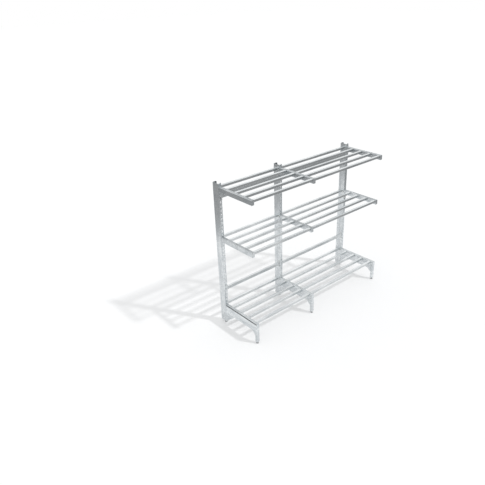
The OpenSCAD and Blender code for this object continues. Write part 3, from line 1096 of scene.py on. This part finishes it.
@dataclass
class Steelwork:
    """The uprights, arms, base feet, bars and beams, which keep their nodes' shapes."""

    nodes: dict[str, Object]

    def dress(self) -> None:
        """Builds each finish and gives it to the nodes whose names start this way."""
        groups = {
            HotDipGalvanised("hot_dip_galvanised_uprights"): ("upright_",),
            # Painted light: the base feet and legs get a lighter patina and a lighter, thinner cover on their
            # tops, which lifts the shade on the open base arm.
            HotDipGalvanised(
                "hot_dip_galvanised_base", patina="D0D4D6", dust="A8ACAE",
                dust_share=(0.45, 0.7), cloud_mm=120.0, run_mm=(22.0, 260.0, 22.0),
            ): ("base_foot_", "front_leg_"),
            # Painted shade: the arms get darker zinc tones than the uprights, which stand in for the shade on
            # the arms.
            HotDipGalvanised(
                "hot_dip_galvanised_arms", light="E2E5E7", middle="D5D9DB", dark="C4C9CC",
                run_mm=(22.0, 300.0, 22.0),
            ): ("middle_arm_", "top_arm_"),
            GalvanisedTube("galvanised_bar_tube"): ("bar_middle_", "bar_top_"),
            GalvanisedTube(
                "galvanised_bar_tube_worn", dark="C4C8CA", scuff="7C7F81", smooth=0.27, rough=0.42
            ): ("bar_base_",),
            GalvanisedTube(
                "galvanised_beam_tube", light="D4D7D8", dark="BEC2C4", line_mm=8.0, smooth=0.26, rough=0.40
            ): ("rear_beam_",),
        }
        for finish, starts in groups.items():
            material = finish.material()
            for name, node in self.nodes.items():
                if name.startswith(starts):
                    for slot in node.material_slots:
                        slot.link = "OBJECT"
                        slot.material = material
                    LOG.info("%s: %s", name, finish.name)


# ---------- studio ----------


@dataclass
class Studio:
    """A white floor, a soft sky, one lamp from the front right, and the camera."""

    floor_half: float = 60.0
    floor_glow: float = 0.285
    floor_tone: float = 0.63
    floor_bounce: float = 0.75
    bright_middle: tuple[float, float] = (-0.15, 0.40)
    bright_reach: tuple[float, float] = (3.0, 2.25)
    bright_fade: float = 1.36
    far_tone: float = 0.36
    soft_sky: Ramp = (
        (0.0, (0.55, 0.55, 0.56, 1.0)),
        (0.35, (0.78, 0.79, 0.80, 1.0)),
        (1.0, (0.94, 0.95, 0.96, 1.0)),
    )
    mirrored_sky: Ramp = (
        (0.0, (0.42, 0.42, 0.42, 1.0)),
        (0.12, (0.45, 0.45, 0.45, 1.0)),
        (0.34, (1.0, 1.0, 1.0, 1.0)),
    )
    mirrored_strength: float = 1.3
    lamp_towards: Point = (0.835, -1.38, 1.80)
    lamp_distance: float = 3.0
    lamp_strength: float = 1.3
    lamp_spread: float = math.radians(2.8)
    camera_place: Point = (-4.1286, -3.9734, 3.6935)
    camera_aim: Point = (0.579231, 0.68055, -0.448714)
    camera_tilt: float = math.radians(-1.646)
    lens: float = 38.196
    sensor: float = 36.0
    shift: tuple[float, float] = (-0.03, 0.0)
    view_depth: float = 300.0

    @staticmethod
    def straight_view(tree: NodeTree, path: NodeOutputs) -> Node:
        """Returns a node that gives 1 for the camera's rays, straight or through something clear."""
        rays = {0: path["Is Camera Ray"], 1: path["Is Transmission Ray"]}
        return add(tree, "Math", {"operation": "MAXIMUM"}, rays)

    def lit_share(self, tree: NodeTree) -> Node:
        """Draws the lit floor near the rack and the darker room beyond it.

        Args:
            tree: The floor's tree.

        Returns:
            A node that gives 1 on the lit floor and less beyond it.
        """
        place = add(tree, "TexCoord").outputs["Object"]
        middle, size = (*self.bright_middle, 0.0), (*self.bright_reach, 1.0)
        oval = {"vector_type": "TEXTURE", "Location": middle, "Scale": size}
        scaled = add(tree, "Mapping", oval, {"Vector": place})
        reach = add(tree, "VectorMath", {"operation": "LENGTH"}, {0: scaled}).outputs["Value"]
        dim = {"From Min": 1.0, "From Max": self.bright_fade, "To Min": 1.0, "To Max": self.far_tone}
        return add(tree, "MapRange", {"interpolation_type": "SMOOTHSTEP", **dim}, {"Value": reach})

    def floor_material(self) -> Material:
        """Builds a matt white floor that keeps shadows and looks white around the rack.

        Returns:
            The material.
        """
        material, tree = blank_tree("matt_white_floor")
        path = add(tree, "LightPath").outputs
        straight = self.straight_view(tree, path)
        seen = add(tree, "Math", {"operation": "MAXIMUM"}, {0: straight, 1: path["Is Glossy Ray"]})
        # Only what the steel mirrors darkens away from the rack.
        room = self.lit_share(tree)
        fade = add(tree, "Mix", {"data_type": "FLOAT", 2: 1.0}, {0: path["Is Glossy Ray"], 3: room})
        shown = add(tree, "Math", TIMES, {0: fade, 1: seen})
        strength = add(tree, "Math", {**TIMES, 1: self.floor_glow}, {0: shown})
        matt = add(tree, "Math", {**TIMES, 1: self.floor_tone}, {0: fade})
        tone = add(tree, "Mix", {"data_type": "FLOAT", 2: self.floor_bounce}, {0: seen, 3: matt})
        diffuse = add(tree, "BsdfDiffuse", links={"Color": tone})
        emission = add(tree, "Emission", links={"Strength": strength})
        both = add(tree, "AddShader", links={0: diffuse, 1: emission})
        add(tree, "OutputMaterial", links={"Surface": both})
        material.cycles.emission_sampling = "NONE"
        return material

    def build_floor(self) -> None:
        """Builds the floor."""
        sheet = bmesh.new()
        bmesh.ops.create_grid(sheet, x_segments=1, y_segments=1, size=self.floor_half)
        mesh = mesh_of(sheet, "floor")
        mesh.materials.append(self.floor_material())
        in_scene("floor", mesh)
        LOG.info("floor: %.0f m wide", 2 * self.floor_half)

    def build_sky(self) -> None:
        """Builds a world that is white to the camera and a soft overhead light to the rest."""
        world = bpy.data.worlds.new("soft_white_room")
        world.use_nodes = True
        tree = world.node_tree
        tree.nodes.clear()
        path = add(tree, "LightPath").outputs
        direction = add(tree, "TexCoord").outputs["Generated"]
        up = add(tree, "SeparateXYZ", links={"Vector": direction}).outputs["Z"]
        soft = add(tree, "ValToRGB", {"stops": self.soft_sky}, {"Fac": up})
        mirrored = add(tree, "ValToRGB", {"stops": self.mirrored_sky}, {"Fac": up})
        light = add(tree, "Background", links={"Color": soft})
        shine = add(tree, "Background", {"Strength": self.mirrored_strength}, {"Color": mirrored})
        white = add(tree, "Background", {"Color": (1.0, 1.0, 1.0, 1.0)})
        lit = add(tree, "MixShader", links={0: path["Is Glossy Ray"], 1: light, 2: shine})
        both = add(tree, "MixShader", links={0: self.straight_view(tree, path), 1: lit, 2: white})
        add(tree, "OutputWorld", links={"Surface": both})
        bpy.context.scene.world = world

    def build_lamp(self) -> None:
        """Builds the lamp that throws the rack's shadow to the rear left."""
        light = bpy.data.lights.new("key_lamp", "SUN")
        light.energy = self.lamp_strength
        light.angle = self.lamp_spread
        lamp = in_scene("key_lamp", light)
        lamp.rotation_euler = Vector(self.lamp_towards).to_track_quat("Z", "Y").to_euler()
        lamp.location = Vector(self.lamp_towards) * self.lamp_distance
        # The lamp is hidden from glossy rays, so steel mirrors the bright sky and shows no hot spot.
        lamp.visible_glossy = False

    def build_camera(self) -> None:
        """Builds the camera that looks down on the rack from the front left."""
        data = bpy.data.cameras.new("camera")
        data.sensor_fit = "HORIZONTAL"
        data.sensor_width = self.sensor
        data.lens = self.lens
        data.shift_x, data.shift_y = self.shift
        data.clip_end = self.view_depth
        camera = in_scene("camera", data)
        camera.location = self.camera_place
        level = Vector(self.camera_aim).to_track_quat("-Z", "Y")
        camera.rotation_euler = (level @ Quaternion((0.0, 0.0, 1.0), self.camera_tilt)).to_euler()
        bpy.context.scene.camera = camera

    def build(self) -> None:
        """Builds the whole studio."""
        self.build_camera()
        self.build_floor()
        self.build_sky()
        self.build_lamp()
        bpy.context.scene.view_settings.view_transform = "Standard"


def main() -> None:
    """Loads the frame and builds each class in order."""
    logging.basicConfig(level=logging.INFO, format="%(name)s %(message)s")
    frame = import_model()
    layout = Layout.read()
    Studio().build()
    Steelwork(frame["nodes"]).dress()
    plastic = MouldedPolyamide("moulded_polyamide_feet").material()
    zinc = BrightZincPlate("bright_zinc_plate").material()
    for row in ("front", "rear"):
        for side in Side:
            LevellingFoot().build(f"{row}_foot_{side.value}", plastic, zinc)
    Fasteners(layout, zinc).build()
    bead = HotDipGalvanised("galvanised_weld_bead", spangle_mm=6.0, ripple_mm=4.0, smooth=0.34, rough=0.5)
    welds = Welds(layout, bead.material())
    welds.base_feet()
    welds.arms()
    welds.cross_tubes()


if __name__ == "__main__":
    main()
